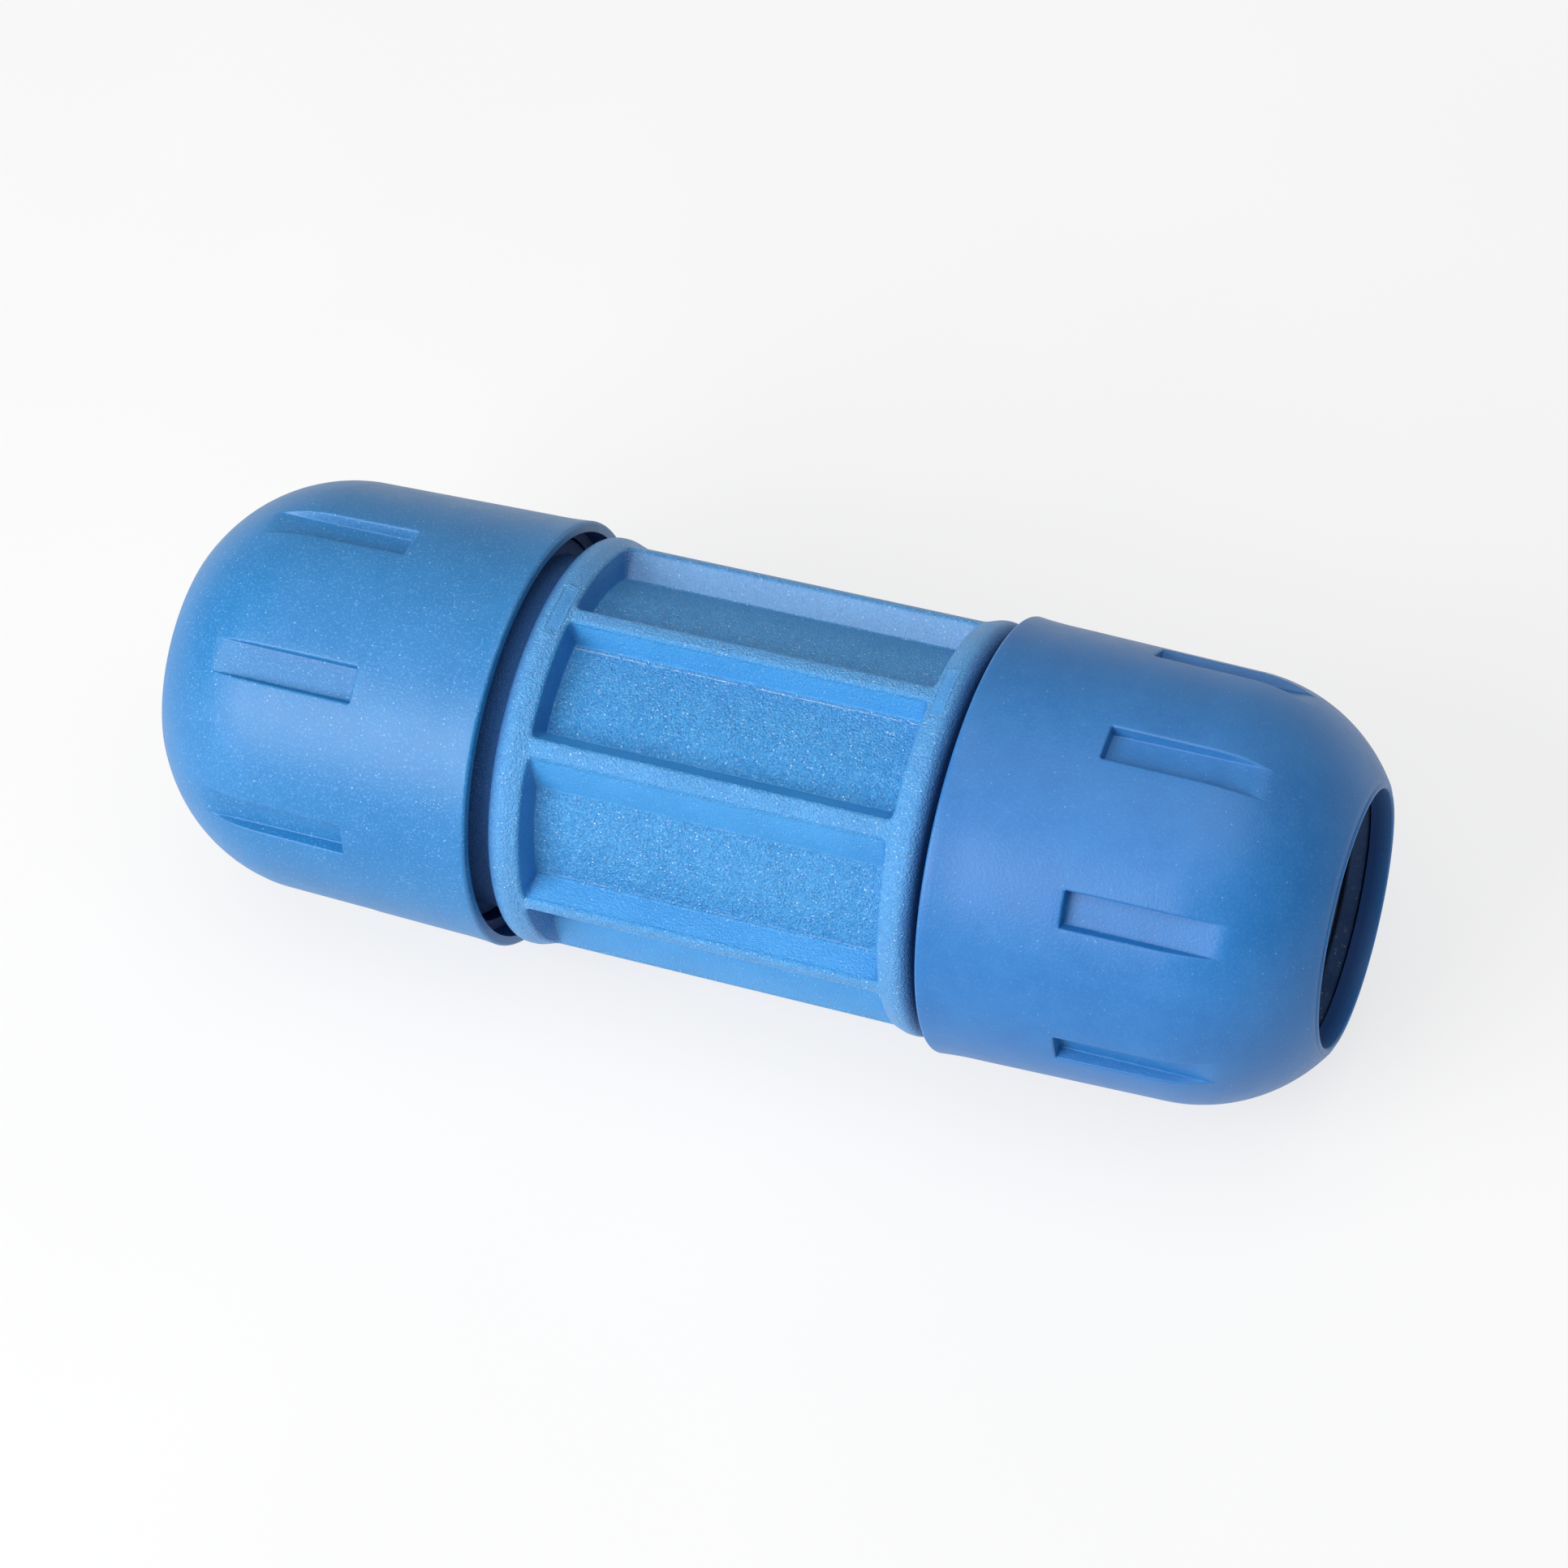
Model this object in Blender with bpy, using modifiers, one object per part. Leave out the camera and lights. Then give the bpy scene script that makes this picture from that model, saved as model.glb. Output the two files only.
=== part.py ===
"""Straight push-fit coupling for 32 mm polyethylene water pipe.

The coupling lies along X with its middle at the origin and +Z up. One moulded body carries a
domed screw cap on each threaded neck. Each cap holds a dust wiper, a split grip collet with a
steel tooth ring, and keeps a spacer ring and an O-ring in the seal seat of the neck.

Every turned piece is drawn about its own Z axis with the mouth of the coupling at the top, and
is then laid down along +X for the right end or along -X for the left end.
"""
import math

import bmesh
import bpy
from mathutils import Matrix, Vector

MM = 0.001

# Pipe and general fits
PIPE_DIAMETER = 32.0 * MM
SOCKET_CLEARANCE = 0.35 * MM        # radial, pipe in the body's socket
MOUTH_CLEARANCE = 0.5 * MM          # radial, pipe in the cap's mouth
FIT_GAP = 0.3 * MM                  # between pieces that meet

# Body: the ribbed barrel between the two collars
STOP_LENGTH = 4.0 * MM              # pipe stop in the middle, along the axis
STOP_HEIGHT = 2.4 * MM              # how far the stop stands in under the pipe's outside
BARREL_WALL = 6.05 * MM             # socket to pocket floor
RIB_HEIGHT = 4.0 * MM
RIB_TOP_WIDTH = 2.2 * MM
RIB_ANGLES = (0.0, 40.0, 91.5, 131.5, 180.0, 228.5, 268.5, 316.0)   # degrees round from the top
POCKET_HALF_LENGTH = 24.0 * MM      # at the rib tops
WALL_DRAFT = math.radians(9.0)      # lean of the pocket walls
DRAW_DRAFT = math.radians(2.0)      # lean of the walls that follow the mould's draw
COLLAR_WIDTH = 4.4 * MM
COLLAR_STEP = 0.6 * MM              # collar above the rib tops
COLLAR_ROUND = 0.9 * MM

# Body: neck, seal seat and thread
NECK_LENGTH = 21.6 * MM             # collar to the neck's end
SEAL_SECTION = 4.5 * MM             # O-ring cord diameter
SEAL_SQUEEZE = 0.25 * MM            # O-ring inside smaller than the pipe, radial
NECK_WALL = 2.95 * MM
NECK_CHAMFER = 0.5 * MM
THREAD_PITCH = 4.0 * MM
THREAD_DEPTH = 1.9 * MM
THREAD_ROOT_WIDTH = 2.0 * MM
THREAD_CREST_WIDTH = 1.0 * MM
THREAD_OFFSET = 4.6 * MM            # collar to the start of the neck's thread
THREAD_SINK = 0.4 * MM              # how far a ridge runs into its wall

# Cap
CAP_STANDOFF = 1.7 * MM             # collar to the cap's rim
SKIRT_CLEARANCE = 1.6 * MM          # thread crest to the skirt's bore, radial
SKIRT_WALL = 1.35 * MM
SKIRT_LIP = 3.4 * MM                # wide part of the skirt's bore, along the axis
RIM_ROUND = 0.5 * MM
FLARE_HEIGHT = 0.3 * MM
FLARE_LENGTH = 6.0 * MM
SKIRT_TAPER = 0.55 * MM             # drop in radius over the skirt
DOME_RADIUS = 22.25 * MM            # radius of the dome's arc in section
MOUTH_LIP = 0.7 * MM                # width of the nose round the mouth
MOUTH_LAND = 2.9 * MM
SLOT_COUNT = 8
SLOT_WIDTH = 4.9 * MM
SLOT_FLOOR = 2.25 * MM              # depth of a slot at its square end
SLOT_SETBACK = 0.75 * MM            # end of the threaded bore to the square end of a slot
CAP_CLOCKING = {"right": math.radians(4.9), "left": math.radians(10.3)}
CAP_THREAD_OFFSET = 4.9 * MM        # rim to the start of the cap's thread
CAP_THREAD_ROOT_WIDTH = 1.6 * MM
CAP_THREAD_CREST_WIDTH = 0.8 * MM
THREAD_CLEARANCE = 0.4 * MM         # radial, thread crest to thread root
PILOT_LENGTH = 3.45 * MM            # plain bore round the neck's end, before the shoulder
RELIEF_CHAMFER = 1.2 * MM

# Pieces inside the cap
SPACER_HEAD = 4.1 * MM              # part of the spacer that stands out of the neck
SPACER_TAIL = 5.9 * MM              # part of the spacer inside the seal seat
COLLET_LENGTH = 15.9 * MM
COLLET_TRAVEL = 1.5 * MM
COLLET_WALL = 2.1 * MM              # at the mouth end
COLLET_SPLIT = 3.0 * MM
COLLET_SLIT = 1.2 * MM
COLLET_SLITS = 7
CONE_HALF_ANGLE = math.radians(11.7)
TOOTH_COUNT = 16
TOOTH_THICKNESS = 0.8 * MM
TOOTH_LENGTH = 1.0 * MM
TOOTH_SEAT = 9.6 * MM               # collet's mouth end to the tooth ring
WIPER_WIDTH = 2.1 * MM
WIPER_BASE = 3.0 * MM               # radial, pipe to the wiper's outside
WIPER_LIP = 0.3 * MM                # lip inside smaller than the pipe, radial

# Facets
CAP_STEPS = 40
RING_STEPS = 32
THREAD_STEPS = 24                   # per turn

# Worked out from the sizes above: radii from the pipe outwards
PIPE_RADIUS = PIPE_DIAMETER / 2
SOCKET_RADIUS = PIPE_RADIUS + SOCKET_CLEARANCE
MOUTH_RADIUS = PIPE_RADIUS + MOUTH_CLEARANCE
STOP_RADIUS = PIPE_RADIUS - STOP_HEIGHT
FLOOR_RADIUS = SOCKET_RADIUS + BARREL_WALL
RIB_RADIUS = FLOOR_RADIUS + RIB_HEIGHT
COLLAR_RADIUS = RIB_RADIUS + COLLAR_STEP
SEAL_INNER = PIPE_RADIUS - SEAL_SQUEEZE
SEAT_RADIUS = SEAL_INNER + SEAL_SECTION + FIT_GAP
NECK_RADIUS = SEAT_RADIUS + NECK_WALL
NECK_BORE = NECK_RADIUS + FIT_GAP
CREST_RADIUS = NECK_RADIUS + THREAD_DEPTH
CAP_BORE = CREST_RADIUS + THREAD_CLEARANCE
CAP_THREAD_RADIUS = NECK_RADIUS + THREAD_CLEARANCE
SKIRT_BORE = CREST_RADIUS + SKIRT_CLEARANCE
SKIRT_RADIUS = SKIRT_BORE + SKIRT_WALL
WIPER_RADIUS = PIPE_RADIUS + WIPER_BASE
GROOVE_RADIUS = WIPER_RADIUS + FIT_GAP
COLLET_BORE = PIPE_RADIUS + 0.5 * SOCKET_CLEARANCE
SPACER_BORE = SOCKET_RADIUS + 0.5 * SOCKET_CLEARANCE

# Places along the axis, from the middle to the mouth
COLLAR_END = POCKET_HALF_LENGTH + COLLAR_WIDTH
RIM = COLLAR_END + CAP_STANDOFF
NECK_END = COLLAR_END + NECK_LENGTH
SPACER_BACK = NECK_END - SPACER_TAIL
SOCKET_DEPTH = SPACER_BACK - SEAL_SECTION - 2 * FIT_GAP
SEAL_CENTRE = SOCKET_DEPTH + FIT_GAP + SEAL_SECTION / 2
SHOULDER = NECK_END + FIT_GAP * 1.5
PILOT_START = SHOULDER - PILOT_LENGTH
BORE_END = PILOT_START - RELIEF_CHAMFER
SPACER_FACE = NECK_END + FIT_GAP + SPACER_HEAD
COLLET_BACK = SPACER_FACE + COLLET_TRAVEL + 2 * FIT_GAP
COLLET_FRONT = COLLET_BACK + COLLET_LENGTH
GROOVE_BACK = COLLET_FRONT + FIT_GAP
WIPER_BACK = GROOVE_BACK + FIT_GAP
WIPER_FRONT = WIPER_BACK + WIPER_WIDTH
LAND_BACK = WIPER_FRONT + FIT_GAP
NOSE = LAND_BACK + MOUTH_LAND

# The cone that the collet closes in
CONE_FRONT_RADIUS = COLLET_BORE + COLLET_WALL + FIT_GAP
CONE_BACK_RADIUS = CONE_FRONT_RADIUS + (GROOVE_BACK - COLLET_BACK) * math.tan(CONE_HALF_ANGLE)
SPACER_RADIUS = CONE_BACK_RADIUS - FIT_GAP

# The cap's dome, an arc that leaves the skirt smoothly and meets the lip of the mouth
DOME_TOP = SKIRT_RADIUS - FLARE_HEIGHT - SKIRT_TAPER
LIP_RADIUS = MOUTH_RADIUS + MOUTH_LIP
DOME_ANGLE = math.acos(1 - (DOME_TOP - LIP_RADIUS) / DOME_RADIUS)
DOME_START = NOSE - DOME_RADIUS * math.sin(DOME_ANGLE)

# Threads
THREAD_START = COLLAR_END + THREAD_OFFSET + THREAD_ROOT_WIDTH / 2
THREAD_TURNS = (BORE_END - FIT_GAP - THREAD_ROOT_WIDTH / 2 - THREAD_START) / THREAD_PITCH
CAP_THREAD_START = RIM + CAP_THREAD_OFFSET
CAP_THREAD_TURNS = (BORE_END - CAP_THREAD_ROOT_WIDTH / 2 - CAP_THREAD_START) / THREAD_PITCH

SIDE_TURN = {"right": math.pi / 2, "left": -math.pi / 2}


# Helpers

def clear_scene():
    for scene_object in list(bpy.data.objects):
        bpy.data.objects.remove(scene_object, do_unlink=True)


def make_collection(name):
    collection = bpy.data.collections.new(name)
    bpy.context.scene.collection.children.link(collection)
    return collection


def make_material(name, colour, roughness, metallic=0.0):
    material = bpy.data.materials.new(name)
    material.use_nodes = True
    shader = material.node_tree.nodes["Principled BSDF"]
    shader.inputs["Base Color"].default_value = (*colour, 1.0)
    shader.inputs["Roughness"].default_value = roughness
    shader.inputs["Metallic"].default_value = metallic
    material.diffuse_color = (*colour, 1.0)
    return material


def add_object(name, mesh, collection, side, material=None):
    """Link a piece drawn about Z and lay it along the coupling's axis."""
    piece = bpy.data.objects.new(name, mesh)
    collection.objects.link(piece)
    piece.rotation_euler = (0.0, SIDE_TURN[side], 0.0)
    if material is None:
        piece.hide_render = True
        piece.display_type = "WIRE"
    else:
        mesh.materials.append(material)
    return piece


def mesh_from(bm, name):
    bmesh.ops.recalc_face_normals(bm, faces=bm.faces)
    mesh = bpy.data.meshes.new(name)
    bm.to_mesh(mesh)
    bm.free()
    return mesh


def arc(centre_r, centre_z, radius, start, end, segments):
    """Points (r, z) along an arc; angles in degrees from the outward direction."""
    points = []
    for index in range(segments + 1):
        angle = math.radians(start + (end - start) * index / segments)
        points.append((centre_r + radius * math.cos(angle), centre_z + radius * math.sin(angle)))
    return points


def turned(name, outline, steps, collection, side, material):
    """Spin a closed outline of (r, z) points, outer side first and top to bottom."""
    half_step = math.pi / steps
    bm = bmesh.new()
    corners = [bm.verts.new((r * math.cos(half_step), r * math.sin(half_step), z)) for r, z in outline]
    for corner, following in zip(corners, corners[1:] + corners[:1]):
        bm.edges.new((corner, following))
    mesh = bpy.data.meshes.new(name)
    bm.to_mesh(mesh)
    bm.free()
    piece = add_object(name, mesh, collection, side, material)
    spin = piece.modifiers.new("Turn", "SCREW")
    spin.axis = "Z"
    spin.steps = steps
    spin.render_steps = steps
    spin.use_merge_vertices = True
    spin.merge_threshold = 0.00001
    spin.use_smooth_shade = True
    return piece


def combine(piece, tool, operation):
    boolean = piece.modifiers.new(tool.name, "BOOLEAN")
    boolean.operation = operation
    boolean.solver = "EXACT"
    boolean.object = tool


def helical_ridge(name, inner, outer, width_in, width_out, start, turns, phase, side, tools):
    """A thread ridge: one flat section carried round and up at the thread's pitch."""
    steps = round(THREAD_STEPS * turns)
    section = ((inner, -width_in / 2), (outer, -width_out / 2), (outer, width_out / 2), (inner, width_in / 2))
    bm = bmesh.new()
    corners = [bm.verts.new((r, 0.0, start + z)) for r, z in section]
    bm.faces.new(corners)
    bmesh.ops.rotate(bm, verts=bm.verts, cent=(0, 0, 0), matrix=Matrix.Rotation(phase, 3, "Z"))
    bmesh.ops.spin(
        bm, geom=bm.verts[:] + bm.edges[:] + bm.faces[:], cent=(0, 0, 0), axis=(0, 0, 1),
        dvec=(0, 0, turns * THREAD_PITCH / steps), angle=turns * math.tau, steps=steps, use_duplicate=False)
    return add_object(name, mesh_from(bm, name), tools, side)


def box_tool(name, low, high, angles, side, tools):
    """Boxes between two corners (r, t, z), one at each angle round the axis."""
    bm = bmesh.new()
    size = Vector(high) - Vector(low)
    middle = (Vector(high) + Vector(low)) / 2
    for angle in angles:
        box = bmesh.ops.create_cube(bm, size=1.0)["verts"]
        bmesh.ops.scale(bm, verts=box, vec=size)
        bmesh.ops.translate(bm, verts=box, vec=middle)
        bmesh.ops.rotate(bm, verts=box, cent=(0, 0, 0), matrix=Matrix.Rotation(angle, 3, "Z"))
    return add_object(name, mesh_from(bm, name), tools, side)


# Body

def body_outline():
    """Half of the body from the middle to the neck's end, mirrored for the other half."""
    ledge = COLLAR_ROUND
    outer = [(NECK_RADIUS - NECK_CHAMFER, NECK_END), (NECK_RADIUS, NECK_END - NECK_CHAMFER)]
    outer += [(NECK_RADIUS, COLLAR_END)]
    outer += arc(COLLAR_RADIUS - ledge, COLLAR_END - ledge, ledge, 90, 0, 3)
    outer += arc(COLLAR_RADIUS - ledge, POCKET_HALF_LENGTH + ledge, ledge, 0, -50, 2)
    outer += [(RIB_RADIUS, POCKET_HALF_LENGTH - COLLAR_STEP / 2)]
    inner = [(STOP_RADIUS, STOP_LENGTH / 2), (SOCKET_RADIUS, STOP_LENGTH / 2)]
    inner += [(SOCKET_RADIUS, SOCKET_DEPTH - NECK_CHAMFER), (SOCKET_RADIUS + NECK_CHAMFER, SOCKET_DEPTH)]
    inner += [(SEAT_RADIUS, SOCKET_DEPTH), (SEAT_RADIUS, NECK_END)]
    far_outer = [(r, -z) for r, z in reversed(outer)]
    far_inner = [(r, -z) for r, z in reversed(inner)]
    return outer + far_outer + far_inner + inner


def wall_points(rib_angle, side):
    """Foot and mouth of a pocket wall beside a rib, as (up, across) points.

    A wall leans away from the rib by the draft. Where that would lock into the mould, which
    opens straight up and straight down, the wall follows the mould's draw instead.
    """
    angle = math.radians(rib_angle)
    radial = Vector((math.cos(angle), math.sin(angle)))
    along = Vector((-math.sin(angle), math.cos(angle))) * side
    edge = radial * RIB_RADIUS + along * RIB_TOP_WIDTH / 2
    upper_half = math.cos(angle + side * 0.1) > 0
    draw = Vector((1.0 if upper_half else -1.0, 0.0))
    inward = along * math.sin(WALL_DRAFT) - radial * math.cos(WALL_DRAFT)
    if along.dot(draw) < -0.2:
        across = Vector((0.0, math.copysign(1.0, edge.y)))
        inward = across * math.sin(DRAW_DRAFT) - draw * math.cos(DRAW_DRAFT)
    reach = -edge.dot(inward)
    closest = edge.length_squared - reach * reach
    foot = edge + inward * (reach - math.sqrt(FLOOR_RADIUS ** 2 - closest))
    mouth = edge - inward * (math.sqrt((COLLAR_RADIUS + COLLAR_STEP) ** 2 - closest) - reach)
    return foot, mouth


def pocket_tool(index, tools):
    """A pocket between two neighbouring ribs, with leaning walls on all four sides."""
    first = RIB_ANGLES[index]
    second = RIB_ANGLES[(index + 1) % len(RIB_ANGLES)]
    foot_a, mouth_a = wall_points(first, 1.0)
    foot_b, mouth_b = wall_points(second, -1.0)
    start = math.atan2(foot_a.y, foot_a.x)
    sweep = (math.atan2(foot_b.y, foot_b.x) - start) % math.tau
    facets = 5
    floor = []
    for step in range(facets + 1):
        angle = start + sweep * step / facets
        floor.append(Vector((math.cos(angle), math.sin(angle))) * FLOOR_RADIUS)
    ring = floor + [mouth_b, (mouth_a + mouth_b).normalized() * mouth_b.length * 1.15, mouth_a]
    foot_half = POCKET_HALF_LENGTH - RIB_HEIGHT * math.tan(WALL_DRAFT)
    bm = bmesh.new()
    # The top of the coupling is at -X while the piece is drawn about Z.
    section = [bm.verts.new((-point.x, -point.y, -1.0)) for point in ring]
    base = bm.faces.new(section)
    lifted = bmesh.ops.extrude_face_region(bm, geom=[base])["geom"]
    for element in lifted:
        if isinstance(element, bmesh.types.BMVert):
            element.co.z = 1.0
    for corner in bm.verts:
        radius = math.hypot(corner.co.x, corner.co.y)
        corner.co.z *= foot_half + (radius - FLOOR_RADIUS) * math.tan(WALL_DRAFT)
    name = f"pocket_tool_{index + 1}"
    return add_object(name, mesh_from(bm, name), tools, "right")


def neck_thread(side, tools):
    return helical_ridge(
        f"{side}_neck_thread", NECK_RADIUS - THREAD_SINK, CREST_RADIUS, THREAD_ROOT_WIDTH,
        THREAD_CREST_WIDTH, THREAD_START, THREAD_TURNS, 0.0, side, tools)


def make_body(parts, tools, material):
    body = turned("coupling_body", body_outline(), CAP_STEPS, parts, "right", material)
    for index in range(len(RIB_ANGLES)):
        combine(body, pocket_tool(index, tools), "DIFFERENCE")
    for side in SIDE_TURN:
        combine(body, neck_thread(side, tools), "UNION")
    return body


# Cap

def cap_outline():
    dome_r = DOME_TOP - DOME_RADIUS
    dome_end = math.degrees(DOME_ANGLE)
    outer = [(MOUTH_RADIUS, NOSE), (LIP_RADIUS - MOUTH_LIP / 4, NOSE)]
    outer += arc(dome_r, DOME_START, DOME_RADIUS, dome_end * 0.97, 0, 8)
    outer += [(SKIRT_RADIUS - FLARE_HEIGHT, RIM + FLARE_LENGTH)]
    outer += arc(SKIRT_RADIUS - RIM_ROUND, RIM + RIM_ROUND, RIM_ROUND, 0, -90, 3)
    inner = [(SKIRT_BORE, RIM), (SKIRT_BORE, RIM + SKIRT_LIP), (CAP_BORE, RIM + SKIRT_LIP + 0.4 * MM)]
    inner += [(CAP_BORE, BORE_END), (NECK_BORE, PILOT_START)]
    inner += [(NECK_BORE, SHOULDER), (CONE_BACK_RADIUS, SHOULDER), (CONE_BACK_RADIUS, COLLET_BACK)]
    inner += [(CONE_FRONT_RADIUS, GROOVE_BACK), (GROOVE_RADIUS, GROOVE_BACK)]
    inner += [(GROOVE_RADIUS, LAND_BACK), (MOUTH_RADIUS, LAND_BACK)]
    return outer + inner


def cap_thread(side, tools):
    """The cap's ridge runs halfway between the turns of the neck's ridge."""
    turns_apart = (CAP_THREAD_START - THREAD_START) / THREAD_PITCH - 0.5
    return helical_ridge(
        f"{side}_cap_thread", CAP_THREAD_RADIUS, CAP_BORE + THREAD_SINK, CAP_THREAD_CREST_WIDTH,
        CAP_THREAD_ROOT_WIDTH, CAP_THREAD_START, CAP_THREAD_TURNS, turns_apart * math.tau, side, tools)


def slot_tool(side, tools):
    floor_radius = SKIRT_RADIUS - FLARE_HEIGHT - SLOT_FLOOR - 0.35 * SKIRT_TAPER
    angles = [CAP_CLOCKING[side] + step * math.tau / SLOT_COUNT for step in range(SLOT_COUNT)]
    low = (floor_radius, -SLOT_WIDTH / 2, PILOT_START + SLOT_SETBACK)
    high = (SKIRT_RADIUS + SLOT_FLOOR, SLOT_WIDTH / 2, NOSE)
    return box_tool(f"{side}_slot_tool", low, high, angles, side, tools)


def make_cap(side, parts, tools, material):
    cap = turned(f"{side}_cap", cap_outline(), CAP_STEPS, parts, side, material)
    combine(cap, slot_tool(side, tools), "DIFFERENCE")
    combine(cap, cap_thread(side, tools), "UNION")
    return cap


# Pieces inside the cap and the neck

def make_wiper(side, parts, material):
    lip = PIPE_RADIUS - WIPER_LIP
    outline = [(WIPER_RADIUS, WIPER_FRONT), (WIPER_RADIUS, WIPER_BACK), (PIPE_RADIUS + 1.2 * MM, WIPER_BACK)]
    outline += [(lip + 0.4 * MM, WIPER_BACK + 0.2 * MM), (lip, WIPER_BACK + 0.5 * MM)]
    outline += [(MOUTH_RADIUS + FIT_GAP, WIPER_FRONT)]
    return turned(f"{side}_dust_wiper", outline, RING_STEPS, parts, side, material)


def collet_radius(z):
    return CONE_FRONT_RADIUS - FIT_GAP + (GROOVE_BACK - z) * math.tan(CONE_HALF_ANGLE)


def make_collet(side, parts, tools, material):
    """A split cone with slits from its back end, so that it closes on the pipe."""
    seat_front = COLLET_FRONT - TOOTH_SEAT
    seat_back = seat_front - TOOTH_THICKNESS - 2 * FIT_GAP
    seat_radius = COLLET_BORE + TOOTH_LENGTH + FIT_GAP
    outline = [(collet_radius(COLLET_FRONT), COLLET_FRONT), (collet_radius(COLLET_BACK), COLLET_BACK)]
    outline += [(COLLET_BORE, COLLET_BACK), (COLLET_BORE, seat_back), (seat_radius, seat_back)]
    outline += [(seat_radius, seat_front), (COLLET_BORE, seat_front)]
    outline += [(COLLET_BORE, COLLET_FRONT - 0.8 * MM), (COLLET_BORE + 0.6 * MM, COLLET_FRONT)]
    collet = turned(f"{side}_collet", outline, RING_STEPS, parts, side, material)
    inside = COLLET_BORE - 1.0 * MM
    outside = CONE_BACK_RADIUS + 1.0 * MM
    low = (inside, -COLLET_SPLIT / 2, COLLET_BACK - 1.0 * MM)
    high = (outside, COLLET_SPLIT / 2, COLLET_FRONT + 1.0 * MM)
    combine(collet, box_tool(f"{side}_split_tool", low, high, [0.0], side, tools), "DIFFERENCE")
    low = (inside, -COLLET_SLIT / 2, COLLET_BACK - 1.0 * MM)
    high = (outside, COLLET_SLIT / 2, seat_back - 0.8 * MM)
    angles = [(step + 1) * math.tau / (COLLET_SLITS + 1) for step in range(COLLET_SLITS)]
    combine(collet, box_tool(f"{side}_slit_tool", low, high, angles, side, tools), "DIFFERENCE")
    return collet


def make_tooth_ring(side, parts, material):
    """A flat steel ring whose inner edge is a row of pointed teeth."""
    outer = COLLET_BORE + TOOTH_LENGTH
    tip = PIPE_RADIUS - 0.1 * MM
    root = COLLET_BORE + 0.4 * TOOTH_LENGTH
    level = COLLET_FRONT - TOOTH_SEAT - FIT_GAP
    corners = TOOTH_COUNT * 2
    bm = bmesh.new()
    rim_loop = []
    tooth_loop = []
    for index in range(corners):
        angle = index * math.tau / corners
        radius = tip if index % 2 else root
        rim_loop.append(bm.verts.new((outer * math.cos(angle), outer * math.sin(angle), level)))
        tooth_loop.append(bm.verts.new((radius * math.cos(angle), radius * math.sin(angle), level)))
    rims = [bm.edges.new((rim_loop[i], rim_loop[(i + 1) % corners])) for i in range(corners)]
    teeth = [bm.edges.new((tooth_loop[i], tooth_loop[(i + 1) % corners])) for i in range(corners)]
    bmesh.ops.bridge_loops(bm, edges=rims + teeth)
    lifted = bmesh.ops.extrude_face_region(bm, geom=bm.faces[:])["geom"]
    lifted = [element for element in lifted if isinstance(element, bmesh.types.BMVert)]
    bmesh.ops.translate(bm, verts=lifted, vec=(0, 0, -TOOTH_THICKNESS))
    name = f"{side}_tooth_ring"
    return add_object(name, mesh_from(bm, name), parts, side, material)


def make_spacer(side, parts, material):
    """A stepped ring: its tail fills the seal seat and its head stands on the neck's end."""
    tail_radius = SEAT_RADIUS - FIT_GAP
    ledge = NECK_END + FIT_GAP
    outline = [(SPACER_RADIUS, SPACER_FACE), (SPACER_RADIUS, ledge), (tail_radius, ledge)]
    outline += [(tail_radius, SPACER_BACK), (SPACER_BORE, SPACER_BACK)]
    outline += [(SPACER_BORE, SPACER_FACE - 1.0 * MM), (SPACER_BORE + 1.0 * MM, SPACER_FACE)]
    return turned(f"{side}_spacer_ring", outline, RING_STEPS, parts, side, material)


def make_seal(side, parts, material):
    radius = SEAL_SECTION / 2
    outline = arc(SEAL_INNER + radius, SEAL_CENTRE, radius, 112.5, -202.5, 7)
    return turned(f"{side}_o_ring", outline, RING_STEPS, parts, side, material)


def main():
    clear_scene()
    parts = make_collection("push_fit_coupling")
    tools = make_collection("cutters")
    moulded_blue = make_material("moulded_blue", (0.07, 0.27, 0.72), 0.5)
    cap_blue = make_material("cap_blue", (0.10, 0.29, 0.68), 0.4)
    wiper_rubber = make_material("wiper_rubber", (0.06, 0.09, 0.16), 0.6)
    seal_rubber = make_material("seal_rubber", (0.015, 0.015, 0.016), 0.5)
    acetal = make_material("collet_acetal", (0.72, 0.72, 0.70), 0.35)
    spacer_plastic = make_material("spacer_plastic", (0.05, 0.06, 0.07), 0.45)
    steel = make_material("tooth_steel", (0.62, 0.62, 0.63), 0.3, 1.0)
    make_body(parts, tools, moulded_blue)
    for side in SIDE_TURN:
        make_cap(side, parts, tools, cap_blue)
        make_wiper(side, parts, wiper_rubber)
        make_collet(side, parts, tools, acetal)
        make_tooth_ring(side, parts, steel)
        make_spacer(side, parts, spacer_plastic)
        make_seal(side, parts, seal_rubber)


main()
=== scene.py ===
"""Looks of the push-fit coupling: smooth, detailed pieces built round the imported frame.

The coupling lies along X with one body rib on top. Angles round it are measured from the top
towards the front. Every cap, ring and neck is made for the right end, with its mouth towards
+X, and the left ones are turned end for end about Z.
"""
import math

import bmesh
import bpy
import numpy as np
from mathutils import Matrix, Vector


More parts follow.
